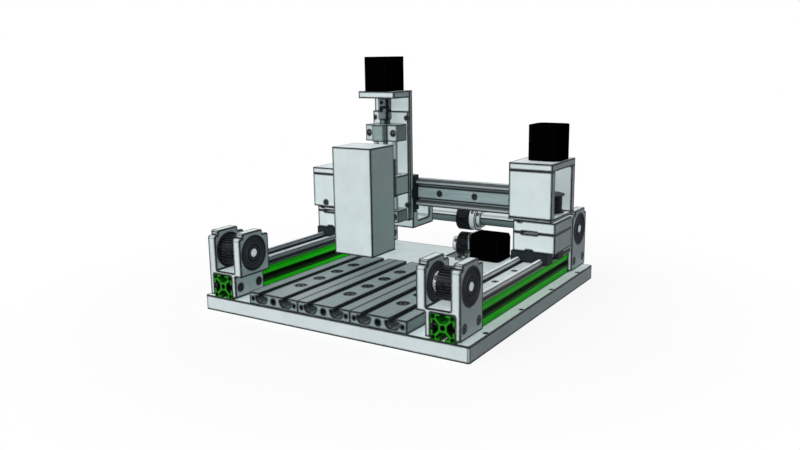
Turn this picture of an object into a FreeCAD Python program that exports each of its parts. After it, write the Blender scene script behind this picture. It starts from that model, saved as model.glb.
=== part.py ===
import FreeCAD, Part
import math
import os

Vec = FreeCAD.Vector

# All sizes are millimetres. X runs to the right, Y to the back, Z up, and the
# origin is the centre of the base plate's underside.

# Table of slotted plates
table_plate_names = ["left", "middle", "right"]
table_plate_width = 100.0
table_length = 290.0
table_plate_thick = 20.0
tee_offset = 25.0
tee_mouth = 10.0
tee_lip = 5.0
tee_inner = 24.0
tee_side = 2.5
tee_depth = 16.0
tee_floor = 10.0
tee_bulge = 1.2
end_hole_side = 7.5
end_hole_dia = 5.5
end_hole_middle_dia = 9.0
end_hole_depth = 20.0
table_bolt_count = 4
table_bolt_pitch = 50.0
table_bolt_dia = 8.0
table_bolt_length = 28.0
table_bore_dia = 18.0

# Base plate
base_depth = 500.0
base_thick = 25.0
base_corner = 3.0
base_side_margin = 14.0
base_hole_dia = 5.0
base_hole_edge = 6.2
base_hole_pitch = 125.0

# Square slotted profile, used for both table rails and for the cross beam
profile_size = 40.0
profile_mouth = 8.0
profile_lip = 4.5
profile_inner = 20.0
profile_root = 8.0
profile_core_dia = 6.8
profile_corner_hole = 5.0
profile_corner_wall = 2.0
profile_back_inset = 4.0

# Double shaft rail
shaft_dia = 10.0
shaft_offset = 20.0
shaft_height = 9.0
rail_foot_width = 50.0
rail_foot_height = 3.0
rail_web_width = 22.0
rail_web_height = 5.5
saddle_width = 7.0
rail_end_gap = 1.0
rail_hole_first = 26.0
rail_hole_pitch = 72.0
rail_screw_recess = 3.0

# Carriages that run on the shafts
carriage_length = 24.0
carriage_width = 66.0
carriage_top = 24.0
carriage_lift = 3.8
carriage_mouth = 8.6
carriage_web_gap = 0.8
running_gap = 0.05
key_width = 13.0
key_height = 3.0

# Toothed pulleys
pulley_teeth = 32
belt_pitch = 5.0
tip_below_pitch_line = 0.57
tooth_depth = 2.1
tooth_tip_share = 0.45
tooth_root_share = 0.30
pulley_width = 28.0
hub_dia = 31.0
hub_length = 10.0

# Bearings and axles of the table belts
bearing_dia = 55.0
bearing_width = 13.0
sleeve_dia = 30.0
axle_dia = 15.0
cross_shaft_dia = 25.0

# Bearing blocks that straddle the profile ends
block_leg_thick = 8.0
block_leg_lift = 3.4
block_web_thick = 5.5
cheek_thick = 15.0
pulley_side_gap = 1.0
pulley_floor_gap = 5.4
bearing_outer_wall = 5.0
bearing_inner_wall = 8.0
bearing_top_wall = 8.7
block_step_height = 8.0
block_step_outer = 8.0
block_step_inner = 14.0
block_chamfer = 2.0
block_corner = 4.0
block_table_gap = 16.0
leg_screw_inset = 12.0

# Drive of the table belts
motor_size = 56.4
motor_length = 60.0
motor_corner_cut = 8.0
motor_boss_dia = 38.1
motor_boss_height = 1.6
motor_shaft_dia = 8.0
motor_shaft_grip = 12.0
drive_pulley_left = -8.0
drive_pulley_gap = 6.0
drive_hub_dia = 48.0
drive_hub_length = 12.0
drive_collar_dia = 34.0
drive_collar_length = 9.0
motor_plate_gap = 1.0
motor_plate_thick = 5.0
motor_plate_shoulder = 15.0
motor_plate_half = 30.0
motor_plate_tongue = 8.0
well_left_gap = 5.0
well_right_gap = 3.0
well_front_gap = 6.3
well_back_gap = 2.8
well_corner = 4.0
well_lap_front = 7.0
well_lap_back = 3.5
foot_reach = 12.0
foot_length = 15.0
foot_thick = 5.0

# Gantry sides
gantry_rest = 297.0
side_block_size = 75.0
side_block_shift = 8.0
side_block_height = 33.0
belt_slot_width = 30.0
belt_slot_depth = 3.0
belt_slot_rise = 1.5
belt_ridge_width = 2.5
beam_rise = 24.0
right_floor_thick = 4.0
left_clamp_thick = 8.0
clamp_notch_width = 8.0
clamp_notch_depth = 2.5
box_width = 77.0
box_depth = 104.0
box_plate_thick = 12.5
right_box_height = 80.5
left_box_height = 64.0
left_roof_thick = 12.0
beam_lap = 10.5
side_pulley_shift = 6.5
side_pulley_back_gap = 1.1
side_pulley_lift = 3.0
side_flange_dia = 58.0
side_flange_thick = 1.5
side_axle_dia = 12.0

# Unit that travels on the cross beam and carries the vertical slide
unit_rest = -72.8
unit_width = 75.0
back_plate_thick = 9.0
back_plate_drop = 29.0
back_plate_above = 59.5
front_plate_thick = 6.0
front_plate_above = 22.5
unit_motor_plate_thick = 12.5
unit_motor_plate_depth = 51.5
screw_reach = 18.0
end_block_width = 67.0
end_block_depth = 32.0
end_block_nose_width = 25.0
end_block_nose_depth = 11.0
upper_block_height = 29.5
lower_block_height = 22.0
lower_block_lift = 1.0
guide_span = 177.0
guide_spread = 40.0
end_block_screw_spread = 51.0
bracket_drop = 46.0
bracket_floor = 13.0
bracket_front_leg = 15.0
bracket_rear_leg = 14.0
bracket_reach = 72.5
bracket_front_gap = 1.0
bracket_rear_gap = 3.0
plate_screw_inset = 3.9
plate_screw_low = 29.0
plate_screw_high = 12.0

# Lead screw and coupling
lead_screw_dia = 10.0
lead_screw_foot = 2.0
lock_nut_dia = 19.5
lock_nut_height = 9.0
coupling_dia = 24.0
coupling_length = 37.0
coupling_hub = 14.0
coupling_motor_gap = 1.0

# Tool slide
saddle_height = 35.1
saddle_clearance = 0.8
saddle_depth = 47.7
saddle_rest = 52.4
bushing_dia = 19.0
nut_dia = 16.0
nut_flange_dia = 27.0
nut_flange_thick = 4.0
head_plate_width = 84.0
head_plate_thick = 5.0
head_plate_height = 67.6
tool_width = 80.0
tool_depth = 72.0
tool_height = 189.0
tool_drop = 95.4

# Cap screws: shank, head diameter, head height, recess diameter
plate_screw = {"shank": 3.0, "head": 5.5, "rise": 1.7, "recess": 6.0}
small_screw = {"shank": 5.0, "head": 8.5, "rise": 2.8, "recess": 9.4}
large_screw = {"shank": 6.0, "head": 10.0, "rise": 5.0, "recess": 11.0}
table_screw = {"shank": table_bolt_dia, "head": 13.0, "rise": 8.0, "recess": table_bore_dia}
screw_clearance = 0.3
screw_sink = 0.5
small_screw_length = 9.0
large_screw_length = 12.0

# Heights worked out from the sizes above
base_top = base_thick
profile_top = base_top + profile_size
pulley_pitch_radius = pulley_teeth * belt_pitch / (2 * math.pi)
pulley_radius = pulley_pitch_radius - tip_below_pitch_line
axle_z = profile_top + block_web_thick + pulley_floor_gap + pulley_radius
side_block_bottom = profile_top + carriage_top
side_block_top = side_block_bottom + side_block_height
beam_bottom = side_block_top + beam_rise
beam_z = beam_bottom + profile_size / 2
motor_axis_z = axle_z - 2 * pulley_radius - drive_pulley_gap

# Places across the machine
cheek_gap = pulley_width + hub_length + 2 * pulley_side_gap
block_outer = profile_size / 2 + block_leg_thick
block_inner = cheek_gap + 2 * cheek_thick - block_outer
table_half = table_plate_width * len(table_plate_names) / 2
rail_x = table_half + block_table_gap + block_inner
base_width = 2 * (rail_x + block_outer + base_side_margin)
pulley_start = block_outer - cheek_thick - pulley_side_gap - pulley_width
beam_half = rail_x - box_width / 2 + beam_lap

# Places along the machine
front = -base_depth / 2
profile_length = base_depth - profile_back_inset
profile_back = front + profile_length
block_length = bearing_outer_wall + bearing_dia + bearing_inner_wall
axle_inset = bearing_outer_wall + bearing_dia / 2
front_axle_y = front + axle_inset
cross_shaft_y = profile_back - axle_inset
rail_front = front + block_length + rail_end_gap
rail_back = profile_back - block_length - rail_end_gap
gantry_front = front + gantry_rest
box_back = gantry_front + box_depth
beam_back = box_back - box_plate_thick
beam_front = beam_back - profile_size
side_pulley_radius = max(side_flange_dia / 2, pulley_radius)
side_pulley_x = rail_x + side_pulley_shift
side_pulley_y = beam_back - side_pulley_back_gap - side_pulley_radius

# Places on the travelling unit
plate_back = beam_front - carriage_top
plate_mid = plate_back - back_plate_thick
plate_front = plate_mid - front_plate_thick
screw_y = plate_front - screw_reach
plate_bottom = beam_bottom - back_plate_drop
guide_bottom = plate_bottom + lower_block_lift
guide_top = guide_bottom + guide_span
plate_top = guide_top + back_plate_above
upper_block_bottom = guide_top - upper_block_height
front_plate_top = guide_top + front_plate_above
saddle_bottom = plate_bottom + saddle_rest
saddle_top = saddle_bottom + saddle_height
saddle_back = plate_front - saddle_clearance
saddle_front = saddle_back - saddle_depth
coupling_top = plate_top - unit_motor_plate_thick - coupling_motor_gap
coupling_bottom = coupling_top - coupling_length


def place(plane, a, b, c):
    """Point a, b in the plane and c along the axis square to it."""
    if plane == "XY":
        return Vec(a, b, c)
    if plane == "YZ":
        return Vec(c, a, b)
    return Vec(a, c, b)


def box(x0, x1, y0, y1, z0, z1):
    return Part.makeBox(x1 - x0, y1 - y0, z1 - z0, Vec(x0, y0, z0))


def rod(axis, radius, start, end, a, b):
    """Cylinder along an axis, centred at a, b across it."""
    plane = {"X": "YZ", "Y": "XZ", "Z": "XY"}[axis]
    foot = place(plane, a, b, start)
    return Part.makeCylinder(radius, end - start, foot, place(plane, 0, 0, 1))


def ring(axis, outer, inner, start, end, a, b):
    """Round sleeve along an axis."""
    return rod(axis, outer, start, end, a, b).cut(rod(axis, inner, start - 1, end + 1, a, b))


def wire_of(plane, corners, level):
    """Closed wire through corners a, b, radius, each corner rounded where its radius isn't zero."""
    edges = []
    count = len(corners)
    last_end = None
    first_start = None
    for i in range(count):
        before = Vec(*corners[i - 1][:2], 0)
        here = Vec(*corners[i][:2], 0)
        after = Vec(*corners[(i + 1) % count][:2], 0)
        radius = corners[i][2]
        to_before = (before - here).normalize()
        to_after = (after - here).normalize()
        half = to_before.getAngle(to_after) / 2
        trim = radius / math.tan(half) if radius > 0 else 0.0
        start = here + to_before * trim
        end = here + to_after * trim
        if last_end is not None:
            edges.append(Part.makeLine(lift(plane, last_end, level), lift(plane, start, level)))
        else:
            first_start = start
        if radius > 0:
            bisector = (to_before + to_after).normalize()
            middle = here + bisector * (radius / math.sin(half) - radius)
            arc = Part.Arc(lift(plane, start, level), lift(plane, middle, level), lift(plane, end, level))
            edges.append(arc.toShape())
        last_end = end
    edges.append(Part.makeLine(lift(plane, last_end, level), lift(plane, first_start, level)))
    return Part.Wire(edges)


def lift(plane, point, level):
    return place(plane, point.x, point.y, level)


def prism(plane, corners, start, end, holes=()):
    """Outline extruded square to its plane. Corners are a, b or a, b, radius."""
    full = [tuple(corner) + (0.0,) * (3 - len(corner)) for corner in corners]
    wires = [wire_of(plane, full, start)]
    for hole in holes:
        wires.append(wire_of(plane, [tuple(c) + (0.0,) * (3 - len(c)) for c in hole], start))
    return face_with_holes(wires).extrude(place(plane, 0, 0, end - start))


def face_with_holes(wires):
    return Part.makeFace(wires, "Part::FaceMakerBullseye")


def fused(shapes):
    result = shapes[0].fuse(shapes[1:]) if len(shapes) > 1 else shapes[0]
    return result.removeSplitter()


def less(shape, tools):
    return shape.cut(Part.makeCompound(tools)) if tools else shape


def mirror_x(shape):
    return shape.mirror(Vec(0, 0, 0), Vec(1, 0, 0))


def cap_screw(size, seat, facing, length, socket=True):
    """Screw whose head stands on the seat point and looks the way it faces."""
    head = Part.makeCylinder(size["head"] / 2, size["rise"], seat, facing)
    shank = Part.makeCylinder(size["shank"] / 2, length, seat, facing * -1)
    screw = head.fuse(shank).removeSplitter()
    if socket:
        across = Vec(facing.z, facing.x, facing.y)
        other = facing.cross(across)
        radius = size["shank"] / 2
        floor = seat + facing * (size["rise"] * 0.4)
        points = []
        for step in range(7):
            angle = step * math.pi / 3
            points.append(floor + across * (radius * math.cos(angle)) + other * (radius * math.sin(angle)))
        screw = screw.cut(Part.Face(Part.makePolygon(points)).extrude(facing * size["rise"]))
    return screw


def screw_hole(size, seat, facing, length, reach):
    """Clearance hole with a recess for the head, open for the reach beyond the seat."""
    shank = Part.makeCylinder(size["shank"] / 2 + screw_clearance, length, seat, facing * -1)
    recess = Part.makeCylinder(size["recess"] / 2, reach, seat, facing)
    return shank.fuse(recess)


def base_holes():
    """Holes along both long edges, as X, Y pairs."""
    holes = []
    for side in (-1, 1):
        for row in (-1.5, -0.5, 0.5, 1.5):
            holes.append((side * (base_width / 2 - base_hole_edge), row * base_hole_pitch))
    return holes


def motor_well():
    """Opening below the table drive motor, as X and Y limits."""
    left = drive_pulley_left - drive_hub_length - well_left_gap
    right = motor_front_x() + motor_length + well_right_gap
    return left, right, cross_shaft_y - motor_size / 2 - well_front_gap, \
        cross_shaft_y + motor_size / 2 + well_back_gap


def motor_front_x():
    return drive_pulley_left + pulley_width + motor_plate_gap + motor_plate_thick


def table_bolts():
    """Screw places of the table, as X, Y pairs, in the middle of each plate."""
    middle_y = front + table_length / 2
    places = []
    for index in range(len(table_plate_names)):
        x = (index + 0.5) * table_plate_width - table_half
        for row in range(table_bolt_count):
            y = middle_y + (row - (table_bolt_count - 1) / 2) * table_bolt_pitch
            places.append((x, y))
    return places


def table_screw_seat():
    return base_top + table_plate_thick - table_screw["rise"] - screw_sink


def foot_screw_place():
    """Seat of the screw that holds the motor plate's foot."""
    plate_x = motor_front_x() - motor_plate_thick
    x = plate_x - foot_length / 2
    y = motor_well()[2] - well_lap_front - foot_reach / 2
    return Vec(x, y, base_top + foot_thick)


def base_plate():
    half_x = base_width / 2
    half_y = base_depth / 2
    r = base_corner
    outline = [(-half_x, -half_y, r), (half_x, -half_y, r), (half_x, half_y, r), (-half_x, half_y, r)]
    left, right, well_front, well_back = motor_well()
    w = well_corner
    well = [(left, well_front, w), (right, well_front, w), (right, well_back, w), (left, well_back, w)]
    plate = prism("XY", outline, 0, base_thick, [well])
    holes = [rod("Z", base_hole_dia / 2, -1, base_thick + 1, x, y) for x, y in base_holes()]
    bolt_end = table_screw_seat() - table_bolt_length
    for x, y in table_bolts():
        holes.append(rod("Z", table_bolt_dia / 2, bolt_end, base_thick + 1, x, y))
    foot = foot_screw_place()
    holes.append(rod("Z", small_screw["shank"] / 2, foot.z - small_screw_length, base_thick + 1, foot.x, foot.y))
    return less(plate, holes)


def tee_slot(x, y0, y1, top):
    """Cutter for one slot: narrow mouth, wide undercut and a rounded floor."""
    mouth = tee_mouth / 2
    inner = tee_inner / 2
    floor = tee_floor / 2
    shelf = top - tee_lip
    shoulder = shelf - tee_side
    bottom = top - tee_depth
    middle = Vec((inner + floor) / 2, 0, (shoulder + bottom) / 2)
    slope = Vec(shoulder - bottom, 0, floor - inner).normalize()
    bulge = middle + slope * tee_bulge
    right = [(mouth, top + 1), (mouth, shelf), (inner, shelf), (inner, shoulder)]
    edges = []
    for side in (1, -1):
        points = [Vec(x + side * a, y0, b) for a, b in right]
        edges += [Part.makeLine(p, q) for p, q in zip(points, points[1:])]
        through = Vec(x + side * bulge.x, y0, bulge.z)
        edges.append(Part.Arc(points[-1], through, Vec(x + side * floor, y0, bottom)).toShape())
    edges.append(Part.makeLine(Vec(x - floor, y0, bottom), Vec(x + floor, y0, bottom)))
    edges.append(Part.makeLine(Vec(x - mouth, y0, top + 1), Vec(x + mouth, y0, top + 1)))
    wire = Part.Wire(Part.__sortEdges__(edges))
    return Part.Face(wire).extrude(Vec(0, y1 - y0, 0))


def table_plate(index):
    centre = (index + 0.5) * table_plate_width - table_half
    half = table_plate_width / 2
    top = base_top + table_plate_thick
    back = front + table_length
    plate = box(centre - half, centre + half, front, back, base_top, top)
    cuts = [tee_slot(centre + side * tee_offset, front - 1, back + 1, top) for side in (-1, 1)]
    mid_z = base_top + table_plate_thick / 2
    for start, end in ((front - 1, front + end_hole_depth), (back - end_hole_depth, back + 1)):
        cuts.append(rod("Y", end_hole_middle_dia / 2, start, end, centre, mid_z))
        for side in (-1, 1):
            x = centre + side * (half - end_hole_side)
            cuts.append(rod("Y", end_hole_dia / 2, start, end, x, mid_z))
    seat = table_screw_seat()
    for x, y in table_bolts():
        if abs(x - centre) < half:
            cuts.append(screw_hole(table_screw, Vec(x, y, seat), Vec(0, 0, 1), seat, table_plate_thick))
    return less(plate, cuts)


def profile_slot():
    """One slot of the square profile, opening towards +b."""
    half = profile_size / 2
    mouth = profile_mouth / 2
    inner = profile_inner / 2
    root = profile_root
    shelf = half - profile_lip
    slope = shelf - (inner - mouth)
    return [(-mouth, half), (-mouth, shelf), (-inner, shelf), (-inner, shelf - 1.5), (-mouth, min(slope, root) - 0.5),
            (mouth, min(slope, root) - 0.5), (inner, shelf - 1.5), (inner, shelf), (mouth, shelf), (mouth, half)]


def turned(points, quarter, a, b):
    """Points turned by quarter turns and moved to a, b."""
    result = []
    for u, v in points:
        for _ in range(quarter):
            u, v = -v, u
        result.append((a + u, b + v))
    return result


def profile(plane, start, end, a, b):
    """Square slotted profile along the axis square to its plane."""
    half = profile_size / 2
    slot = profile_slot()
    outline = []
    for quarter in (0, 1, 2, 3):
        outline += turned([(half, half)] + list(reversed(slot)), quarter, a, b)
    far = half - profile_corner_wall
    near = far - profile_corner_hole
    corner = [(near, near), (far, near), (far, far), (near, far)]
    holes = [turned(corner, quarter, a, b) for quarter in (0, 1, 2, 3)]
    bar = prism(plane, outline, start, end, holes)
    axis = {"YZ": "X", "XZ": "Y"}[plane]
    return bar.cut(rod(axis, profile_core_dia / 2, start - 1, end + 1, a, b))


def rail_holes(length):
    """Distances of the rail screws from the end they are counted from."""
    count = int((length - 2 * rail_hole_first) / rail_hole_pitch) + 1
    return [rail_hole_first + i * rail_hole_pitch for i in range(count)]


def rail_corners():
    """Rail section: u across, w away from the profile, the saddles hollowed later."""
    foot = rail_foot_width / 2
    web = rail_web_width / 2
    near = shaft_offset - saddle_width / 2
    far = shaft_offset + saddle_width / 2
    right = [(foot, 0), (foot, rail_foot_height), (far, rail_foot_height), (far, shaft_height),
             (near, shaft_height), (near, rail_foot_height), (web, rail_foot_height), (web, rail_web_height)]
    return right + [(-u, w) for u, w in reversed(right)]


def carriage_corners():
    """Carriage section with its open mouths, the shaft bores cut later."""
    half = carriage_width / 2
    key = key_width / 2
    near = shaft_offset - carriage_mouth / 2
    far = shaft_offset + carriage_mouth / 2
    web = rail_web_width / 2 + 2 * carriage_web_gap
    web_top = rail_web_height + carriage_web_gap
    right = [(web, web_top), (web, carriage_lift), (near, carriage_lift), (near, shaft_height),
             (far, shaft_height), (far, carriage_lift), (half, carriage_lift), (half, carriage_top),
             (key, carriage_top), (key, carriage_top + key_height)]
    return right + [(-u, w) for u, w in reversed(right)]


def on_profile(points, centre, top):
    """Section laid on top of a profile that runs along Y: a is X, b is Z."""
    return [(centre + u, top + w) for u, w in points]


def on_beam(points):
    """Section laid on the front face of the cross beam: a is Y, b is Z."""
    return [(beam_front - w, beam_z + u) for u, w in points]


def y_rail(centre):
    rail = prism("XZ", on_profile(rail_corners(), centre, profile_top), rail_front, rail_back)
    cuts = []
    for side in (-1, 1):
        x = centre + side * shaft_offset
        cuts.append(rod("Y", shaft_dia / 2, rail_front - 1, rail_back + 1, x, profile_top + shaft_height))
    for seat in y_rail_seats(centre):
        cuts.append(screw_hole(small_screw, seat, Vec(0, 0, 1), rail_web_height, rail_web_height))
    return less(rail, cuts)


def y_rail_seats(centre):
    z = profile_top + rail_web_height - rail_screw_recess
    return [Vec(centre, rail_front + d, z) for d in rail_holes(rail_back - rail_front)]


def y_rail_shafts():
    z = profile_top + shaft_height
    shafts = []
    for centre in (-rail_x, rail_x):
        for side in (-1, 1):
            x = centre + side * shaft_offset
            shafts.append(rod("Y", shaft_dia / 2, rail_front, rail_back, x, z))
    return Part.makeCompound(shafts)


def x_rail_ends():
    return -beam_half + 2 * rail_end_gap, beam_half - 2 * rail_end_gap


def rail_relief(side):
    """Cutter that clears the ends of the cross rail, at the right (1) or left (-1) box."""
    near = rail_x - box_width / 2 - 1
    far = beam_half + rail_end_gap
    x0, x1 = sorted((side * near, side * far))
    y0 = beam_front - shaft_height - shaft_dia / 2 - rail_end_gap
    low = min(shaft_offset + shaft_dia / 2, rail_foot_width / 2 + shaft_dia) + rail_end_gap
    return box(x0, x1, y0, beam_front, beam_z - low, beam_z)


def x_rail():
    left, right = x_rail_ends()
    rail = prism("YZ", on_beam(rail_corners()), left, right)
    cuts = []
    for side in (-1, 1):
        z = beam_z + side * shaft_offset
        cuts.append(rod("X", shaft_dia / 2, left - 1, right + 1, beam_front - shaft_height, z))
    for seat in x_rail_seats():
        cuts.append(screw_hole(small_screw, seat, Vec(0, -1, 0), rail_web_height, rail_web_height))
    return less(rail, cuts)


def x_rail_seats():
    y = beam_front - rail_web_height + rail_screw_recess
    return [Vec(beam_half - d, y, beam_z) for d in rail_holes(2 * beam_half)]


def x_rail_shafts():
    left, right = x_rail_ends()
    y = beam_front - shaft_height
    heights = [beam_z + side * shaft_offset for side in (-1, 1)]
    return Part.makeCompound([rod("X", shaft_dia / 2, left, right, y, z) for z in heights])


def y_carriages():
    """Two carriages on each rail, at both ends of the side block above them."""
    bore = shaft_dia / 2 + running_gap
    carriages = []
    for centre in (-rail_x, rail_x):
        for start in (gantry_front, gantry_front + side_block_size - carriage_length):
            end = start + carriage_length
            body = prism("XZ", on_profile(carriage_corners(), centre, profile_top), start, end)
            cuts = []
            for side in (-1, 1):
                x = centre + side * shaft_offset
                cuts.append(rod("Y", bore, start - 1, end + 1, x, profile_top + shaft_height))
            carriages.append(less(body, cuts))
    return Part.makeCompound(carriages)


def x_carriages():
    """Two carriages on the beam, level with both edges of the back plate."""
    bore = shaft_dia / 2 + running_gap
    carriages = []
    for start in (unit_rest - unit_width / 2, unit_rest + unit_width / 2 - carriage_length):
        end = start + carriage_length
        body = prism("YZ", on_beam(carriage_corners()), start, end)
        cuts = []
        for side in (-1, 1):
            z = beam_z + side * shaft_offset
            cuts.append(rod("X", bore, start - 1, end + 1, beam_front - shaft_height, z))
        carriages.append(less(body, cuts))
    return Part.makeCompound(carriages)


def block_spans():
    """Start and end of the outer and inner cheek, across the right-hand rail."""
    outer = (rail_x + block_outer - cheek_thick, rail_x + block_outer)
    inner = (rail_x - block_inner, rail_x - block_inner + cheek_thick)
    return outer, inner


def leg_screw_seats(outer_end, inward):
    """Screws through both legs of a right-hand block, as seat and facing."""
    z = base_top + profile_size / 2
    sink = large_screw["rise"] + screw_sink
    seats = []
    for distance in (leg_screw_inset, block_length - leg_screw_inset):
        y = outer_end + inward * distance
        seats.append((Vec(rail_x + block_outer - sink, y, z), Vec(1, 0, 0)))
        seats.append((Vec(rail_x - block_outer + sink, y, z), Vec(-1, 0, 0)))
    return seats


def pulley_block(outer_end, inward):
    """Right-hand block: two legs beside the profile, a web on it, two tall cheeks."""
    step = axle_z + bearing_dia / 2 + bearing_top_wall - block_step_height
    top = step + block_step_height
    c = block_chamfer
    inner_step = block_length - block_step_inner
    side = [(0, profile_top), (block_length, profile_top), (block_length, step, block_corner),
            (inner_step, step), (inner_step, top - c), (inner_step - c, top), (block_step_outer + c, top),
            (block_step_outer, top - c), (block_step_outer, step), (0, step, block_corner)]
    outline = [(outer_end + inward * p[0],) + tuple(p[1:]) for p in side]
    outer, inner = block_spans()
    y0, y1 = sorted((outer_end, outer_end + inward * block_length))
    solids = [prism("YZ", outline, *outer), prism("YZ", outline, *inner)]
    solids.append(box(inner[0], outer[1], y0, y1, profile_top, profile_top + block_web_thick))
    leg_bottom = base_top + block_leg_lift
    half = profile_size / 2
    leg_top = profile_top + block_web_thick
    for start in (rail_x + half, rail_x - half - block_leg_thick):
        solids.append(box(start, start + block_leg_thick, y0, y1, leg_bottom, leg_top))
    axle_y = outer_end + inward * axle_inset
    cuts = [rod("X", bearing_dia / 2, inner[0] - 1, outer[1] + 1, axle_y, axle_z)]
    for seat, facing in leg_screw_seats(outer_end, inward):
        cuts.append(screw_hole(large_screw, seat, facing, block_leg_thick, block_leg_thick))
    return less(fused(solids), cuts)


def block_bearings():
    """One bearing in the middle of each cheek, running on the sleeve of its axle."""
    rings = []
    bore = sleeve_dia / 2 + running_gap
    for axle_y in (front_axle_y, cross_shaft_y):
        for start, end in block_spans():
            middle = (start + end) / 2
            x0 = middle - bearing_width / 2
            bearing = ring("X", bearing_dia / 2, bore, x0, x0 + bearing_width, axle_y, axle_z)
            rings += [bearing, mirror_x(bearing)]
    return Part.makeCompound(rings)


def tooth_points():
    """Outline of the toothed rim about its own axis."""
    pitch = 2 * math.pi / pulley_teeth
    root = pulley_radius - tooth_depth
    tip_half = pitch * tooth_tip_share / 2
    root_half = pitch * tooth_root_share / 2
    points = []
    for tooth in range(pulley_teeth):
        angle = tooth * pitch
        for radius, turn in ((pulley_radius, -tip_half), (pulley_radius, tip_half),
                             (root, pitch / 2 - root_half), (root, pitch / 2 + root_half)):
            points.append((radius * math.cos(angle + turn), radius * math.sin(angle + turn)))
    return points


def toothed_rim(axis, start, bore, a, b):
    """Toothed rim with a round bore, one pulley width long."""
    plane = {"X": "YZ", "Z": "XY"}[axis]
    corners = [place(plane, a + u, b + v, start) for u, v in tooth_points()]
    outer = Part.makePolygon(corners + corners[:1])
    hole = Part.makeCircle(bore, place(plane, a, b, start), place(plane, 0, 0, 1))
    face = face_with_holes([outer, Part.Wire([hole])])
    return face.extrude(place(plane, 0, 0, pulley_width))


def hub_with_screw_hole(radius, start, end, bore, y, z):
    """Hub beside a rim, with the radial hole of its set screw."""
    hub = ring("X", radius, bore, start, end, y, z)
    hole = Part.makeCylinder(small_screw["shank"] / 2, radius, Vec((start + end) / 2, y, z), Vec(0, -0.8, 0.6))
    return hub.cut(hole)


def belt_pulley(axle_y):
    """Right-hand table belt pulley, its hub on the inner side."""
    start = rail_x + pulley_start
    bore = axle_dia / 2
    rim = toothed_rim("X", start, bore, axle_y, axle_z)
    hub = hub_with_screw_hole(hub_dia / 2, start - hub_length, start, bore, axle_y, axle_z)
    return rim.fuse(hub)


def sleeves(axle_y):
    """Sleeves between axle and bearings in a right-hand block."""
    return [ring("X", sleeve_dia / 2, axle_dia / 2, start, end, axle_y, axle_z) for start, end in block_spans()]


def front_axle():
    outer, inner = block_spans()
    axle = rod("X", axle_dia / 2, inner[0], outer[1], front_axle_y, axle_z)
    return Part.makeCompound([axle] + sleeves(front_axle_y))


def cross_shaft():
    """Thick between the blocks, turned down where it passes through them."""
    outer, inner = block_spans()
    neck = inner[0] - pulley_side_gap
    thick = rod("X", cross_shaft_dia / 2, -neck, neck, cross_shaft_y, axle_z)
    thin = rod("X", axle_dia / 2, -outer[1], outer[1], cross_shaft_y, axle_z)
    right = sleeves(cross_shaft_y)
    return Part.makeCompound([fused([thick, thin])] + right + [mirror_x(s) for s in right])


def shaft_drive_pulley():
    """Driven pulley in the middle of the cross shaft, its wide hub and a collar."""
    bore = cross_shaft_dia / 2
    rim_end = drive_pulley_left + pulley_width
    hub_end = rim_end + drive_hub_length
    rim = toothed_rim("X", drive_pulley_left, bore, cross_shaft_y, axle_z)
    hub = hub_with_screw_hole(drive_hub_dia / 2, rim_end, hub_end, bore, cross_shaft_y, axle_z)
    collar = hub_with_screw_hole(drive_collar_dia / 2, hub_end, hub_end + drive_collar_length, bore,
                                 cross_shaft_y, axle_z)
    return Part.makeCompound([rim.fuse(hub), collar])


def y_motor_pulley():
    bore = motor_shaft_dia / 2
    rim = toothed_rim("X", drive_pulley_left, bore, cross_shaft_y, motor_axis_z)
    hub = hub_with_screw_hole(hub_dia / 2, drive_pulley_left - drive_hub_length, drive_pulley_left, bore,
                              cross_shaft_y, motor_axis_z)
    return rim.fuse(hub)


def y_motor_shaft():
    start = drive_pulley_left - drive_hub_length
    return rod("X", motor_shaft_dia / 2, start, motor_front_x() + motor_shaft_grip, cross_shaft_y, motor_axis_z)


def motor(axis, face, direction, a, b):
    """Square motor with cut corners, pilot boss on its face and a bore for its shaft."""
    plane = {"X": "YZ", "Z": "XY"}[axis]
    half = motor_size / 2
    cut = half - motor_corner_cut
    corners = [(half, cut), (cut, half), (-cut, half), (-half, cut), (-half, -cut), (-cut, -half),
               (cut, -half), (half, -cut)]
    outline = [(a + u, b + v) for u, v in corners]
    body = prism(plane, outline, face, face + direction * motor_length)
    start, end = sorted((face - direction * motor_boss_height, face + direction))
    boss = rod(axis, motor_boss_dia / 2, start, end, a, b)
    start, end = sorted((face - direction * 2 * motor_boss_height, face + direction * (motor_shaft_grip + 1)))
    return body.fuse(boss).cut(rod(axis, motor_shaft_dia / 2 + running_gap, start, end, a, b))


def y_motor_plate():
    """Upright plate that hangs the motor in the base opening, shoulders on the base."""
    left, right, well_front, well_back = motor_well()
    x0 = motor_front_x() - motor_plate_thick
    lap_front = well_front - well_lap_front
    lap_back = well_back + well_lap_back
    half = motor_plate_half
    top = motor_axis_z + motor_size / 2 - 1
    shoulder = base_top + motor_plate_shoulder
    tongue = base_top - motor_plate_tongue
    edge_front = well_front + screw_sink
    edge_back = well_back - screw_sink
    mid = cross_shaft_y
    outline = [(edge_front, tongue), (edge_back, tongue), (edge_back, base_top), (lap_back, base_top),
               (lap_back, shoulder), (mid + half, shoulder), (mid + half, top, 4), (mid - half, top, 4),
               (mid - half, shoulder), (lap_front, shoulder), (lap_front, base_top), (edge_front, base_top)]
    plate = prism("YZ", outline, x0, x0 + motor_plate_thick)
    foot = box(x0 - foot_length, x0 + motor_plate_thick, lap_front - foot_reach, lap_front, base_top,
               base_top + foot_thick)
    pilot = rod("X", motor_boss_dia / 2, x0 - 1, x0 + motor_plate_thick + 1, mid, motor_axis_z)
    hole = screw_hole(small_screw, foot_screw_place(), Vec(0, 0, 1), foot_thick + 1, 1)
    return less(fused([plate, foot]), [pilot, hole])


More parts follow.
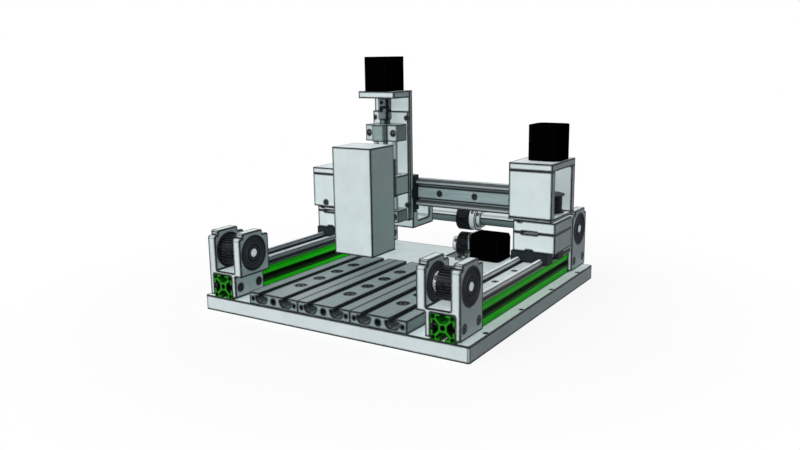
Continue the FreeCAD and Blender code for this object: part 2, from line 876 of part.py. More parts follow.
def side_block(centre):
    """Block on the carriages, grooved for their keys, with the toothed belt seat on top."""
    x0 = centre + side_block_shift - side_block_size / 2
    y0 = gantry_front
    y1 = y0 + side_block_size
    block = box(x0, x0 + side_block_size, y0, y1, side_block_bottom, side_block_top)
    groove = box(centre - key_width / 2, centre + key_width / 2, y0 - 1, y1 + 1,
                 side_block_bottom - 1, side_block_bottom + key_height)
    half = belt_slot_width / 2
    slot = box(centre - half, centre + half, y0 - 1, y1 + 1, side_block_top - belt_slot_depth, side_block_top + 1)
    block = less(block, [groove, slot])
    ridges = []
    count = int(side_block_size / belt_pitch)
    floor = side_block_top - belt_slot_depth
    margin = (belt_pitch - belt_ridge_width) / 2
    for index in range(count):
        y = y0 + index * belt_pitch + margin
        ridges.append(box(centre - half, centre + half, y, y + belt_ridge_width, floor - 1,
                          floor + tooth_depth / 2))
    return fused([block] + ridges)


def belt_clamp(centre, thick):
    """Plate over the belt seat, relieved above it."""
    x0 = centre + side_block_shift - side_block_size / 2
    y0 = gantry_front
    y1 = y0 + side_block_size
    top = side_block_top + thick
    clamp = box(x0, x0 + side_block_size, y0, y1, side_block_top, top)
    half = belt_slot_width / 2
    relief = box(centre - half, centre + half, y0 - 1, y1 + 1, side_block_top - 1, side_block_top + belt_slot_rise)
    notch = box(x0 + clamp_notch_width, x0 + 2 * clamp_notch_width, y0 - 1, y1 + 1, top - clamp_notch_depth, top + 1)
    return less(clamp, [relief, notch])


def box_span(centre):
    return centre - box_width / 2, centre + box_width / 2


def box_floor_right():
    x0, x1 = box_span(rail_x)
    floor = box(x0, x1, gantry_front, box_back, beam_bottom - right_floor_thick, beam_bottom)
    bore = rod("Z", side_axle_dia / 2 + running_gap, beam_bottom - right_floor_thick - 1, beam_bottom + 1,
               side_pulley_x, side_pulley_y)
    return less(floor, [bore, rail_relief(1)])


def left_plate_seats():
    """Screws through the front and rear plate into the left floor, as seat and facing."""
    z = (side_block_top + left_clamp_thick + beam_bottom) / 2
    sink = small_screw["rise"] + screw_sink
    seats = []
    for x in (-rail_x - box_width / 8, -rail_x + box_width / 4):
        seats.append((Vec(x, gantry_front + sink, z), Vec(0, -1, 0)))
        seats.append((Vec(x, box_back - sink, z), Vec(0, 1, 0)))
    return seats


def left_screw_length():
    return box_plate_thick + small_screw_length


def box_floor_left():
    x0, x1 = box_span(-rail_x)
    bottom = side_block_top + left_clamp_thick
    y0 = gantry_front + box_plate_thick
    floor = box(x0, x1, y0, box_back - box_plate_thick, bottom, beam_bottom)
    half_depth = (beam_bottom - bottom) / 2
    cuts = [rod("Z", side_axle_dia / 2 + running_gap, beam_bottom - half_depth, beam_bottom + 1,
                -side_pulley_x, side_pulley_y), rail_relief(-1)]
    for seat, facing in left_plate_seats():
        cuts.append(Part.makeCylinder(small_screw["shank"] / 2, left_screw_length(), seat, facing * -1))
    return less(floor, cuts)


def box_sides(centre, bottom, height, seats):
    """Front and rear plate of a side box."""
    x0, x1 = box_span(centre)
    plates = []
    for y0 in (gantry_front, box_back - box_plate_thick):
        plate = box(x0, x1, y0, y0 + box_plate_thick, bottom, bottom + height)
        cuts = [screw_hole(small_screw, seat, facing, box_plate_thick, box_plate_thick / 2)
                for seat, facing in seats]
        plates.append(less(plate, cuts))
    return Part.makeCompound(plates)


def right_roof_bottom():
    return beam_bottom + right_box_height


def left_roof_bottom():
    return side_block_top + left_clamp_thick + left_box_height


def box_roof_right():
    """Roof of the right box, bored for the pilot boss of the motor on it."""
    x0, x1 = box_span(rail_x)
    bottom = right_roof_bottom()
    roof = box(x0, x1, gantry_front, box_back, bottom, bottom + box_plate_thick)
    return roof.cut(rod("Z", motor_boss_dia / 2, bottom - 1, bottom + box_plate_thick + 1,
                        side_pulley_x, side_pulley_y))


def box_roof_left():
    """Roof of the left box, with a blind bore for the end of the idler's axle."""
    x0, x1 = box_span(-rail_x)
    bottom = left_roof_bottom()
    roof = box(x0, x1, gantry_front, box_back, bottom, bottom + left_roof_thick)
    return roof.cut(rod("Z", side_axle_dia / 2 + running_gap, bottom - 1, bottom + left_roof_thick / 2,
                        -side_pulley_x, side_pulley_y))


def flanged_pulley(x):
    """Toothed rim between two round flanges, about a vertical axis."""
    start = beam_bottom + side_pulley_lift + side_flange_thick
    bore = side_axle_dia / 2
    rim = toothed_rim("Z", start, bore, x, side_pulley_y)
    flanges = []
    for z in (start - side_flange_thick, start + pulley_width):
        flanges.append(ring("Z", side_flange_dia / 2, bore, z, z + side_flange_thick, x, side_pulley_y))
    return rim.fuse(flanges)


def x_drive_pulley():
    """Belt pulley of the beam on its axle, which ends in the motor above."""
    bottom = beam_bottom - right_floor_thick + screw_sink
    motor_face = right_roof_bottom() + box_plate_thick
    neck = right_roof_bottom() + box_plate_thick / 2
    axle = rod("Z", side_axle_dia / 2, bottom, neck, side_pulley_x, side_pulley_y)
    end = rod("Z", motor_shaft_dia / 2, neck - 1, motor_face + motor_shaft_grip, side_pulley_x, side_pulley_y)
    return Part.makeCompound([flanged_pulley(side_pulley_x), fused([axle, end])])


def x_idler_pulley():
    """Idler of the beam's belt on its axle between floor and roof of the left box."""
    floor_depth = (beam_bottom - side_block_top - left_clamp_thick) / 2
    bottom = beam_bottom - floor_depth + screw_sink
    top = left_roof_bottom() + left_roof_thick / 2 - screw_sink
    axle = rod("Z", side_axle_dia / 2, bottom, top, -side_pulley_x, side_pulley_y)
    return Part.makeCompound([flanged_pulley(-side_pulley_x), axle])


def unit_span():
    return unit_rest - unit_width / 2, unit_rest + unit_width / 2


def front_plate_seats():
    """Small screws near both edges of the front plate, sunk in it so that the slide clears them."""
    x0, x1 = unit_span()
    y = plate_front + plate_screw["rise"] + screw_sink
    seats = []
    for x in (x0 + plate_screw_inset, x1 - plate_screw_inset):
        for z in (plate_bottom + plate_screw_low, front_plate_top - plate_screw_high):
            seats.append(Vec(x, y, z))
    return seats


def z_back_plate():
    """Long plate on the carriages, grooved for their keys, up to the motor."""
    x0, x1 = unit_span()
    plate = box(x0, x1, plate_mid, plate_back, plate_bottom, plate_top)
    half = key_width / 2
    cuts = [box(x0 - 1, x1 + 1, plate_back - key_height, plate_back + 1, beam_z - half, beam_z + half)]
    for seat in front_plate_seats():
        cuts.append(rod("Y", plate_screw["shank"] / 2, plate_mid - 1, seat.y + small_screw_length, seat.x, seat.z))
    return less(plate, cuts)


def end_block_seats(bottom, height):
    z = bottom + height / 2
    y = plate_front - end_block_depth + small_screw["rise"] + screw_sink
    return [Vec(unit_rest + side * end_block_screw_spread / 2, y, z) for side in (-1, 1)]


def clamp_screw_length(seat):
    """From the seat to the guide shaft that the screw clamps."""
    return screw_y - shaft_dia / 2 - seat.y


def z_front_plate():
    x0, x1 = unit_span()
    plate = box(x0, x1, plate_front, plate_mid, plate_bottom, front_plate_top)
    cuts = [screw_hole(plate_screw, seat, Vec(0, -1, 0), front_plate_thick, front_plate_thick)
            for seat in front_plate_seats()]
    return less(plate, cuts)


def end_blocks():
    """Bottom and height of the lower and upper bearing block of the lead screw."""
    return [(guide_bottom, lower_block_height), (upper_block_bottom, upper_block_height)]


def end_block(bottom, height):
    """Bearing block with a narrower nose in front, bored for screw and guide shafts."""
    half = end_block_width / 2
    nose = end_block_nose_width / 2
    x = unit_rest
    y1 = plate_front
    y0 = y1 - end_block_depth
    nose_y = y0 - end_block_nose_depth
    outline = [(x - half, y0, 1.5), (x - nose, y0), (x - nose, nose_y, 2), (x + nose, nose_y, 2), (x + nose, y0),
               (x + half, y0, 1.5), (x + half, y1), (x - half, y1)]
    block = prism("XY", outline, bottom, bottom + height)
    cuts = [rod("Z", lead_screw_dia / 2 + running_gap, bottom - 1, bottom + height + 1, x, screw_y)]
    for side in (-1, 1):
        cuts.append(rod("Z", shaft_dia / 2, bottom - 1, bottom + height + 1, x + side * guide_spread / 2, screw_y))
    for seat in end_block_seats(bottom, height):
        cuts.append(screw_hole(small_screw, seat, Vec(0, -1, 0), clamp_screw_length(seat), end_block_depth / 4))
    return less(block, cuts)


def z_guide_shafts():
    places = [unit_rest + side * guide_spread / 2 for side in (-1, 1)]
    return Part.makeCompound([rod("Z", shaft_dia / 2, guide_bottom, guide_top, x, screw_y) for x in places])


def z_motor_plate():
    x0, x1 = unit_span()
    y0 = plate_mid - unit_motor_plate_depth
    plate = box(x0, x1, y0, plate_mid, plate_top - unit_motor_plate_thick, plate_top)
    return plate.cut(rod("Z", motor_boss_dia / 2, plate_top - unit_motor_plate_thick - 1, plate_top + 1,
                         unit_rest, screw_y))


def beam_bracket():
    """Channel below the beam, its front leg behind the back plate."""
    x0, x1 = unit_span()
    floor = beam_bottom - bracket_drop
    front_top = beam_z - carriage_width / 2 - bracket_front_gap
    rear_top = beam_bottom - bracket_rear_gap
    y0 = plate_back
    y1 = y0 + bracket_reach
    inner_front = y0 + bracket_front_leg
    inner_rear = y1 - bracket_rear_leg
    shelf = floor + bracket_floor
    outline = [(y0, floor), (y1, floor), (y1, rear_top), (inner_rear, rear_top), (inner_rear, shelf, 3),
               (inner_front, shelf, 3), (inner_front, front_top), (y0, front_top)]
    return prism("YZ", outline, x0, x1)


def lead_screw():
    bottom = guide_bottom + lead_screw_foot
    return rod("Z", lead_screw_dia / 2, bottom, coupling_bottom + coupling_length / 2 - 1, unit_rest, screw_y)


def screw_coupling():
    """Lock nut, two clamping hubs with a slimmer middle, and the shaft of the motor."""
    bore = lead_screw_dia / 2
    nut = ring("Z", lock_nut_dia / 2, bore, guide_top, guide_top + lock_nut_height, unit_rest, screw_y)
    radius = coupling_dia / 2
    middle = (coupling_bottom + coupling_top) / 2
    lower_end = coupling_bottom + coupling_hub
    upper_start = coupling_top - coupling_hub
    lower = rod("Z", radius, coupling_bottom, lower_end, unit_rest, screw_y)
    upper = rod("Z", radius, upper_start, coupling_top, unit_rest, screw_y)
    spider = rod("Z", radius - 1, lower_end, upper_start, unit_rest, screw_y)
    socket = rod("Z", bore, coupling_bottom - 1, middle - 1, unit_rest, screw_y)
    motor_bore = rod("Z", motor_shaft_dia / 2, middle + 1, coupling_top + 1, unit_rest, screw_y)
    body = less(fused([lower, spider, upper]), [socket, motor_bore])
    shaft = rod("Z", motor_shaft_dia / 2, middle + 1, plate_top + motor_shaft_grip, unit_rest, screw_y)
    return Part.makeCompound([nut, body, shaft])


def head_saddle():
    """Block that runs on the two guide shafts and holds their bushings and the nut."""
    half = unit_width / 2
    saddle = box(unit_rest - half, unit_rest + half, saddle_front, saddle_back, saddle_bottom, saddle_top)
    cuts = [rod("Z", nut_dia / 2, saddle_bottom - 1, saddle_top + 1, unit_rest, screw_y)]
    for side in (-1, 1):
        cuts.append(rod("Z", bushing_dia / 2, saddle_bottom - 1, saddle_top + 1,
                        unit_rest + side * guide_spread / 2, screw_y))
    return less(saddle, cuts)


def head_bushings():
    """Two slide bushings and the flanged nut of the lead screw."""
    bore = shaft_dia / 2 + running_gap
    pieces = []
    for side in (-1, 1):
        x = unit_rest + side * guide_spread / 2
        pieces.append(ring("Z", bushing_dia / 2, bore, saddle_bottom, saddle_top, x, screw_y))
    body = rod("Z", nut_dia / 2, saddle_bottom, saddle_top + 1, unit_rest, screw_y)
    flange = rod("Z", nut_flange_dia / 2, saddle_top, saddle_top + nut_flange_thick, unit_rest, screw_y)
    hole = rod("Z", lead_screw_dia / 2 + running_gap, saddle_bottom - 1, saddle_top + nut_flange_thick + 1,
               unit_rest, screw_y)
    pieces.append(fused([body, flange]).cut(hole))
    return Part.makeCompound(pieces)


def head_plate():
    half = head_plate_width / 2
    return box(unit_rest - half, unit_rest + half, saddle_front - head_plate_thick, saddle_front,
               saddle_bottom, saddle_bottom + head_plate_height)


def tool_head():
    half = tool_width / 2
    back = saddle_front - head_plate_thick
    bottom = saddle_bottom - tool_drop
    return box(unit_rest - half, unit_rest + half, back - tool_depth, back, bottom, bottom + tool_height)


def base_screws():
    """Screws of the table, the bearing blocks, both table rails and the motor plate's foot."""
    seat = table_screw_seat()
    screws = [cap_screw(table_screw, Vec(x, y, seat), Vec(0, 0, 1), table_bolt_length) for x, y in table_bolts()]
    for outer_end, inward in ((front, 1), (profile_back, -1)):
        for seat, facing in leg_screw_seats(outer_end, inward):
            screw = cap_screw(large_screw, seat, facing, large_screw_length)
            screws += [screw, mirror_x(screw)]
    for centre in (-rail_x, rail_x):
        for seat in y_rail_seats(centre):
            screws.append(cap_screw(small_screw, seat, Vec(0, 0, 1), small_screw_length, False))
    screws.append(cap_screw(small_screw, foot_screw_place(), Vec(0, 0, 1), small_screw_length, False))
    return Part.makeCompound(screws)


def gantry_screws():
    """Screws of the cross rail and of the left box."""
    screws = [cap_screw(small_screw, seat, Vec(0, -1, 0), small_screw_length, False) for seat in x_rail_seats()]
    for seat, facing in left_plate_seats():
        screws.append(cap_screw(small_screw, seat, facing, left_screw_length(), False))
    return Part.makeCompound(screws)


def z_unit_screws():
    """Screws that clamp the guide shafts in their blocks, and screws of the front plate."""
    screws = []
    for bottom, height in end_blocks():
        for seat in end_block_seats(bottom, height):
            screws.append(cap_screw(small_screw, seat, Vec(0, -1, 0), clamp_screw_length(seat)))
    for seat in front_plate_seats():
        screws.append(cap_screw(plate_screw, seat, Vec(0, -1, 0), small_screw_length, False))
    return Part.makeCompound(screws)


def save(name, shape):
    shape.exportStep("parts/" + name + ".step")


def save_base():
    save("base_plate", base_plate())
    for index, name in enumerate(table_plate_names):
        save("table_plate_" + name, table_plate(index))
    for side, centre in (("left", -rail_x), ("right", rail_x)):
        save("y_profile_" + side, profile("XZ", front, profile_back, centre, base_top + profile_size / 2))
        save("y_rail_" + side, y_rail(centre))
    save("y_rail_shafts", y_rail_shafts())
    for end, outer_end, inward in (("front", front, 1), ("rear", profile_back, -1)):
        block = pulley_block(outer_end, inward)
        save("pulley_block_" + end + "_right", block)
        save("pulley_block_" + end + "_left", mirror_x(block))
    save("block_bearings", block_bearings())
    save("y_motor_plate", y_motor_plate())
    save("y_motor", motor("X", motor_front_x(), 1, cross_shaft_y, motor_axis_z))
    save("base_screws", base_screws())


def save_belt_drives():
    for end, axle_y in (("front", front_axle_y), ("rear", cross_shaft_y)):
        pulley = belt_pulley(axle_y)
        save(end + "_pulley_right", pulley)
        save(end + "_pulley_left", mirror_x(pulley))
    axle = front_axle()
    save("front_axle_right", axle)
    save("front_axle_left", mirror_x(axle))
    save("cross_shaft", cross_shaft())
    save("shaft_drive_pulley", shaft_drive_pulley())
    save("y_motor_pulley", Part.makeCompound([y_motor_pulley(), y_motor_shaft()]))


def save_gantry():
    save("y_carriages", y_carriages())
    for side, centre, thick in (("left", -rail_x, left_clamp_thick), ("right", rail_x, beam_rise - right_floor_thick)):
        save("side_block_" + side, side_block(centre))
        save("belt_clamp_" + side, belt_clamp(centre, thick))
    save("box_floor_left", box_floor_left())
    save("box_floor_right", box_floor_right())
    save("box_sides_left", box_sides(-rail_x, side_block_top + left_clamp_thick, left_box_height,
                                     left_plate_seats()))
    save("box_sides_right", box_sides(rail_x, beam_bottom, right_box_height, []))
    save("box_roof_left", box_roof_left())
    save("box_roof_right", box_roof_right())
    save("x_profile", profile("YZ", -beam_half, beam_half, beam_back - profile_size / 2, beam_z))
    save("x_rail", x_rail())
    save("x_rail_shafts", x_rail_shafts())
    save("x_motor", motor("Z", right_roof_bottom() + box_plate_thick, 1, side_pulley_x, side_pulley_y))
    save("gantry_screws", gantry_screws())
    save("x_drive_pulley", x_drive_pulley())
    save("x_idler_pulley", x_idler_pulley())


def save_unit():
    save("x_carriages", x_carriages())
    save("z_back_plate", z_back_plate())
    save("z_front_plate", z_front_plate())
    save("z_motor_plate", z_motor_plate())
    save("z_motor", motor("Z", plate_top, 1, unit_rest, screw_y))
    save("z_lower_bearing_block", end_block(*end_blocks()[0]))
    save("z_upper_bearing_block", end_block(*end_blocks()[1]))
    save("z_guide_shafts", z_guide_shafts())
    save("beam_bracket", beam_bracket())
    save("z_unit_screws", z_unit_screws())
    save("lead_screw", lead_screw())
    save("screw_coupling", screw_coupling())


def save_head():
    save("head_saddle", head_saddle())
    save("head_bushings", head_bushings())
    save("head_plate", head_plate())
    save("tool_head", tool_head())


os.makedirs("parts", exist_ok=True)
save_base()
save_belt_drives()
save_gantry()
save_unit()
save_head()
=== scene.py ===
import math

import bmesh
import bpy
import numpy as np
from mathutils import Matrix, Vector

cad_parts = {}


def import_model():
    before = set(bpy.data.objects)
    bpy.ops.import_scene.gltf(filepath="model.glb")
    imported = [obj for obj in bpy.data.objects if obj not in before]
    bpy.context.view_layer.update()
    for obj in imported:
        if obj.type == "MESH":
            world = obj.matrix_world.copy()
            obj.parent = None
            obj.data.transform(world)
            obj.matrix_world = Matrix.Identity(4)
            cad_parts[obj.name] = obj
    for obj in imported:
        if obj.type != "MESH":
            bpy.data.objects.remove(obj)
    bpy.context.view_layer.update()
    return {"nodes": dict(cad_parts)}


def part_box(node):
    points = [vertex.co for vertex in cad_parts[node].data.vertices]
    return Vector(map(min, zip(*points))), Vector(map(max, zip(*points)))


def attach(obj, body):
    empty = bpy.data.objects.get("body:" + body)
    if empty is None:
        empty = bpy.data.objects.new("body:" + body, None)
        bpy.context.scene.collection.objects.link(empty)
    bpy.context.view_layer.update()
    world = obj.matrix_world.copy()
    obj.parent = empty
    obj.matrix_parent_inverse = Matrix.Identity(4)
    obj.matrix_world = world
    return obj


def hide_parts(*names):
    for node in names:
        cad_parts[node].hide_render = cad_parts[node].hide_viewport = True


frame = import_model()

nodes = frame["nodes"]
MM = 0.001
full_turn = 2 * np.pi

# Camera, solved from the base plate, the table and the motors: metres, radians, and mm for the lens
camera_place = Vector((0.7200, -1.16135, 0.41226))
camera_yaw = 0.566
camera_pitch = -0.208
camera_roll = -0.015
camera_lens = 35.695
camera_sensor = 36

# Where the suns shine from, how far their light spreads in degrees, and the sky
front_light = (-0.34, -0.74, 0.71)
rear_light = (-0.55, 0.80, 0.25)
front_spread = 50
rear_spread = 60
sky_colour = (0.80, 0.97, 1.0, 1.0)
sky_strength = 0.105

# Floor: linear tones that the camera and that bounced light meet, and its size in metres
floor_seen = (0.9, 0.9, 0.9, 1)
floor_bounce = (0.19, 0.20, 0.21, 1)
floor_radius = 12
floor_drop = 0.0002
fade_starts = 0.3
fade_ends = 0.7

# Colours as sRGB numbers from 0 to 255
black = (0, 0, 0)
line_dark = (10, 16, 18)
plate_grey = (222, 233, 234)
table_grey = (138, 151, 154)
table_end_grey = (140, 159, 161)
rail_light = (206, 216, 216)
beam_grey = (150, 168, 170)
block_grey = (138, 155, 153)
block_light = (188, 198, 200)
carriage_dark = (30, 38, 43)
carriage_line = (8, 8, 10)
screw_dark = (62, 66, 70)
screw_line = (6, 7, 8)
# Green sides painted brighter than the ends as painted light, and painted shade in the slot
green_lit_tones = (26, 236, 2), (34, 255, 4)
green_end_tone = (30, 150, 14)
green_slot_shade = (34, 84, 14)
green_line = (4, 18, 4)
motor_tones = (1, 1, 2), (4, 4, 5)
motor_line = (14, 15, 17)
# Black teeth, and the painted glints on them
pulley_black_and_glints = (10, 13, 19), (84, 98, 116)
pulley_line = (5, 5, 7)
hub_tones = (200, 206, 208), (232, 236, 237)
axle_tones = (214, 222, 223), (250, 252, 252)
# Painted highlight that the axle ends glow with
axle_end_painted_glow = (150, 156, 157)
sleeve_steel = (90, 94, 100)
rail_shaft_tones = (225, 231, 233), (255, 255, 255)
left_shaft_grey = (150, 156, 164)
beam_shaft_tones = (120, 128, 130), (180, 188, 190)
guide_tones = (150, 155, 162), (205, 212, 214)
# Painted shade and dark bands of the shafts, by which way the surface faces
shaft_painted_dark = (34, 39, 42)
shaft_painted_grey = (104, 118, 120)
ring_tones = (92, 95, 101), (84, 88, 94)
seal_grey = (80, 82, 88)
ring_line = (10, 12, 14)
coupling_tones = (84, 94, 97), (132, 143, 146)
# Black of the jaw spider, and painted shade in the coupling's slits and screw pockets
coupling_spider_and_shade = (14, 17, 18)

# Dark lines at edges begin and are full at these cosines between a rounded and a flat normal
edge_begins = 0.999
edge_full = 0.985
edge_samples = 12

# Painted shade in slots and inner corners begins and is full at these shares of open surroundings
painted_shade_begins = 0.72
painted_shade_full = 0.30
painted_shade_samples = 6
painted_shade_share = 0.92

# Shared sizes: the margin that tells a face from what lies beside it, and the coupling's ends
face_margin = 0.5 * MM
lock_nut_height = 9 * MM
motor_shaft_length = 25.5 * MM


def linear(colour):
    """A display colour as the linear red, green, blue and alpha that a socket takes."""
    values = []
    for part in colour:
        v = part / 255
        values.append(v / 12.92 if v <= 0.04045 else ((v + 0.055) / 1.055) ** 2.4)
    return (*values, 1.0)


class Reading:
    """An output of a node, with the arithmetic that the finishes use."""

    def __init__(self, graph, socket):
        self.graph = graph
        self.socket = socket

    def __add__(self, other):
        return self.graph.maths("ADD", self, other)

    __radd__ = __add__

    def __mul__(self, other):
        return self.graph.maths("MULTIPLY", self, other)

    __rmul__ = __mul__

    def __sub__(self, other):
        return self.graph.maths("SUBTRACT", self, other)

    def __rsub__(self, other):
        return self.graph.maths("SUBTRACT", other, self)

    def __gt__(self, other):
        return self.graph.maths("GREATER_THAN", self, other)

    def __lt__(self, other):
        return self.graph.maths("LESS_THAN", self, other)

    def __abs__(self):
        return self.graph.maths("ABSOLUTE", self)

    def between(self, low, high):
        """The reading's 0 to 1 brought to low to high."""
        return self * (high - low) + low


class Graph:
    """A node tree, whose nodes all come from one method."""

    def __init__(self, tree):
        self.tree = tree

    def node(self, kind, settings=None, inputs=None, output=0):
        """Adds a node with its settings, then the values or links of its sockets."""
        made = self.tree.nodes.new(kind)
        for key, value in (settings or {}).items():
            setattr(made, key, value)
        for key, value in (inputs or {}).items():
            self.feed(made.inputs[key], value)
        return Reading(self, made.outputs[output])

    def feed(self, socket, value):
        """Links a reading to a socket, or sets a plain value on it."""
        if isinstance(value, Reading):
            self.tree.links.new(value.socket, socket)
        else:
            socket.default_value = value

    def maths(self, operation, *values):
        """Math node on readings and numbers."""
        return self.node("ShaderNodeMath", {"operation": operation}, dict(enumerate(values)))

    def seen(self):
        """1 for what the camera and the reflections see, 0 for bounced light."""
        camera_ray = self.node("ShaderNodeLightPath", output="Is Camera Ray")
        glossy_ray = self.node("ShaderNodeLightPath", output="Is Glossy Ray")
        return self.maths("MAXIMUM", camera_ray, glossy_ray)


class Finish(Graph):
    """A material with one surface shader, built up by readings of the surface."""

    def __init__(self, name, **constants):
        self.material = bpy.data.materials.new(name)
        self.material.use_nodes = True
        super().__init__(self.material.node_tree)
        self.shader = self.tree.nodes["Principled BSDF"]
        self.place = self.node("ShaderNodeTexCoord", output="Object")
        self.surface(**constants)

    def surface(self, **values):
        """Feeds sockets of the shader, named with _ for a space, and gives back the material."""
        for key, value in values.items():
            self.feed(self.shader.inputs[key.replace("_", " ")], value)
        return self.material

    def axis(self, letter):
        """Place along X, Y or Z in metres."""
        return self.node("ShaderNodeSeparateXYZ", inputs={0: self.place}, output=letter)

    def facing(self, letter):
        """How far the surface faces along X, Y or Z, from -1 to 1."""
        normal = self.node("ShaderNodeNewGeometry", output="Normal")
        return self.node("ShaderNodeSeparateXYZ", inputs={0: normal}, output=letter)

    def radius_from(self, letters, *centre):
        """Distance from an axis: the root of the summed squares of the two offsets across it."""
        first, second = (self.axis(letter) - middle for letter, middle in zip(letters, centre))
        return self.maths("SQRT", first * first + second * second)

    def mix(self, factor, first, second):
        """Blend of two colours, each a reading or a linear colour."""
        return self.node("ShaderNodeMix", {"data_type": "RGBA"},
                         {0: factor, 6: first, 7: second}, output=2)

    def spread(self, value, low, high):
        """Reading brought from low..high to 0..1 and held there."""
        return self.node("ShaderNodeMapRange", {"clamp": True},
                         {"Value": value, "From Min": low, "From Max": high})

    def stripe(self, value, middle, half, faded):
        """1 where value is within half of middle, and 0 where it is faded or further from it."""
        return self.spread(abs(value - middle), faded, half)

    def noise(self, scale, detail=3.0, crowding=(1, 1, 1)):
        """Noise, scale waves to the metre, finer along an axis with a large number in crowding."""
        where = self.node("ShaderNodeMapping", inputs={"Vector": self.place, "Scale": crowding})
        return self.node("ShaderNodeTexNoise", {"noise_dimensions": "3D"},
                         {"Vector": where, "Scale": scale, "Detail": detail, "Roughness": 0.6})

    def grinding(self, axis, scale=60, crowding=40):
        """Grinding marks that run round an axis."""
        along = tuple(crowding if letter == axis else 1 for letter in "XYZ")
        return self.noise(scale, detail=4.0, crowding=along)

    def edges(self, width):
        """1 along the sharp edges of the piece and 0 away from them; width in mm."""
        rounded = self.node("ShaderNodeBevel", {"samples": edge_samples}, {"Radius": width * MM})
        flat = self.node("ShaderNodeNewGeometry", output="Normal")
        match = self.node("ShaderNodeVectorMath", {"operation": "DOT_PRODUCT"},
                          {0: rounded, 1: flat}, output="Value")
        return self.spread(match, edge_begins, edge_full)

    def slots(self, reach):
        """Painted shade: 1 deep in slots and inner corners, 0 on open surfaces; reach in mm."""
        open_share = self.node("ShaderNodeAmbientOcclusion", {"samples": painted_shade_samples},
                               {"Distance": reach * MM}, output="AO")
        return self.spread(open_share, painted_shade_begins, painted_shade_full)

    def bump(self, height, strength, distance):
        """Normal of a surface that rises by distance where height is 1."""
        return self.node("ShaderNodeBump",
                         inputs={"Strength": strength, "Distance": distance, "Height": height})


def metal_finish(name, colour, line, grain, edge, slot=6.0, streaks=(1, 1, 1), change=0.10,
                 rough=0.5, metal=0.0, shine=0.3, patch=None):
    """Anodised or ground metal: mottled tone, fine grain in the gloss, dark lines and painted shade
    in slots.

    The mottles number grain to the metre and change the tone by the share given. The lines along
    the edges are edge mm wide, and painted shade darkens slots and inner corners over a reach of
    slot mm. A patch is a function that says where it lies, and its colour.
    """
    finish = Finish(name, Metallic=metal, Specular_IOR_Level=shine)
    fineness = 9
    mottle = finish.noise(grain, crowding=streaks)
    fine = finish.noise(grain * fineness, detail=2.0, crowding=streaks)
    pale = linear(tuple(min(255, c * (1 + change / 2)) for c in colour))
    deep = linear(tuple(c * (1 - change) for c in colour))
    tone = finish.mix(finish.spread(mottle, 0.3, 0.7), deep, pale)
    if patch:
        where, patch_colour = patch
        tone = finish.mix(where(finish), tone, linear(patch_colour))
    # Painted shade: slots and inner corners darken towards the line colour
    shaded = finish.mix(finish.slots(slot) * painted_shade_share, tone, linear(line))
    lined = finish.mix(finish.edges(edge), shaded, linear(line))
    return finish.surface(Base_Color=lined, Roughness=fine.between(rough - 0.12, rough + 0.13),
                          Normal=finish.bump(fine, strength=0.12, distance=0.2 * MM))


def pulley_finish(name, silver):
    """Black toothed rim with painted glints, and bright hub; silver gives 1 on the hub and the
    shaft.
    """
    finish = Finish(name, Specular_IOR_Level=0.12)
    bright = silver(finish)
    fine = finish.noise(900)
    # Painted glints: small light flecks on the black teeth
    painted_glints = finish.spread(finish.noise(300, detail=1.0), 0.52, 0.58)
    hub = finish.mix(fine, *map(linear, hub_tones))
    rim = finish.mix(painted_glints, *map(linear, pulley_black_and_glints))
    tone = finish.mix(bright, rim, hub)
    # Painted shade in the holes and joints of the hub
    shaded = finish.mix(finish.slots(3.0) * bright * painted_shade_share, tone, linear(pulley_line))
    lined = finish.mix(finish.edges(2.8), shaded, linear(pulley_line))
    return finish.surface(Base_Color=lined, Metallic=bright.between(0.0, 0.35),
                          Roughness=fine.between(0.42, 0.52) - bright * 0.1,
                          Normal=finish.bump(fine, strength=0.1, distance=0.2 * MM))


def axle_finish(name, y, z, sleeves_from):
    """Bright axle, with painted shade and painted reflection bands by its slope and a painted
    highlight on its ends, in dark sleeves that lie further out than sleeves_from.
    """
    axle_radius = 7.6 * MM
    axle_end_radius = 6.4 * MM
    seam_radius = 8.2 * MM
    groove_radius = 12.8 * MM
    finish = Finish(name, Specular_IOR_Level=0.05, Emission_Strength=1.0)
    radius = finish.radius_from("YZ", y, z)
    outside = abs(finish.axis("X")) > sleeves_from
    sleeve = (radius > axle_radius) * outside
    axle_end = (radius < axle_end_radius) * outside
    seam = finish.stripe(radius, seam_radius, 0.7 * MM, 1.1 * MM) * sleeve
    groove = finish.stripe(radius, groove_radius, 0.6 * MM, 1.1 * MM) * sleeve

    # Painted shade on the underside and painted reflection bands round the axle, by its slope
    slope = finish.facing("Z")
    round_side = abs(finish.facing("X")) < 0.5
    under = finish.spread(slope, 0.28, 0.18)
    upper_band = finish.stripe(slope, 0.67, 0.10, 0.20) * 0.5
    under_line = finish.stripe(slope, 0.25, 0.08, 0.14)
    lowest = finish.spread(slope, -0.80, -0.90)

    fine = finish.noise(700)
    tone = finish.mix(finish.grinding("X"), *map(linear, axle_tones))
    tone = finish.mix((under + upper_band) * round_side, tone, linear(shaft_painted_grey))
    tone = finish.mix((under_line + lowest) * round_side, tone, linear(shaft_painted_dark))
    tone = finish.mix(sleeve, tone, linear(sleeve_steel))
    tone = finish.mix(seam, tone, linear(line_dark))
    tone = finish.mix(groove * 0.9, tone, linear(line_dark))
    lined = finish.mix(finish.edges(1.6), tone, linear(line_dark))
    # Painted highlight: the axle ends glow
    glow = finish.mix(axle_end, linear(black), linear(axle_end_painted_glow))
    return finish.surface(Base_Color=lined, Roughness=fine.between(0.6, 0.8), Emission_Color=glow)


